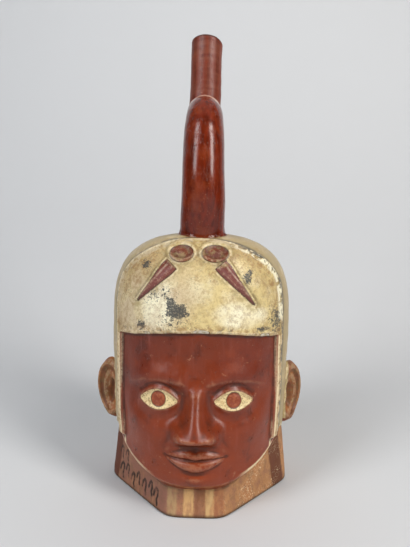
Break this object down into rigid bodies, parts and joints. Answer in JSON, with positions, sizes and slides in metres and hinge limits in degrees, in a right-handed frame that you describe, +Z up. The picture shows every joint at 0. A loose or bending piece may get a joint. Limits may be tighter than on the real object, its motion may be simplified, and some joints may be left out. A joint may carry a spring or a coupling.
{
  "type": "stirrup-spout portrait vessel",
  "caption": "Hollow fired-clay vessel in the form of a capped head, with a stirrup-shaped tube on its crown, an open spout and a flat faceted foot.",
  "frame": {"origin": "middle of the flat underside, below the spout's axis", "axes": "+Z up along the spout, the face looks along -Y, +X to the viewer's right"},
  "size_m": [0.1507, 0.1439, 0.3128],
  "materials": {
    "slip_painted_clay": "burnished red-brown and cream slip on tan fired clay, worn"
  },
  "bodies": {
    "root": {"vessel": "slip_painted_clay"}
  },
  "joints": []
}
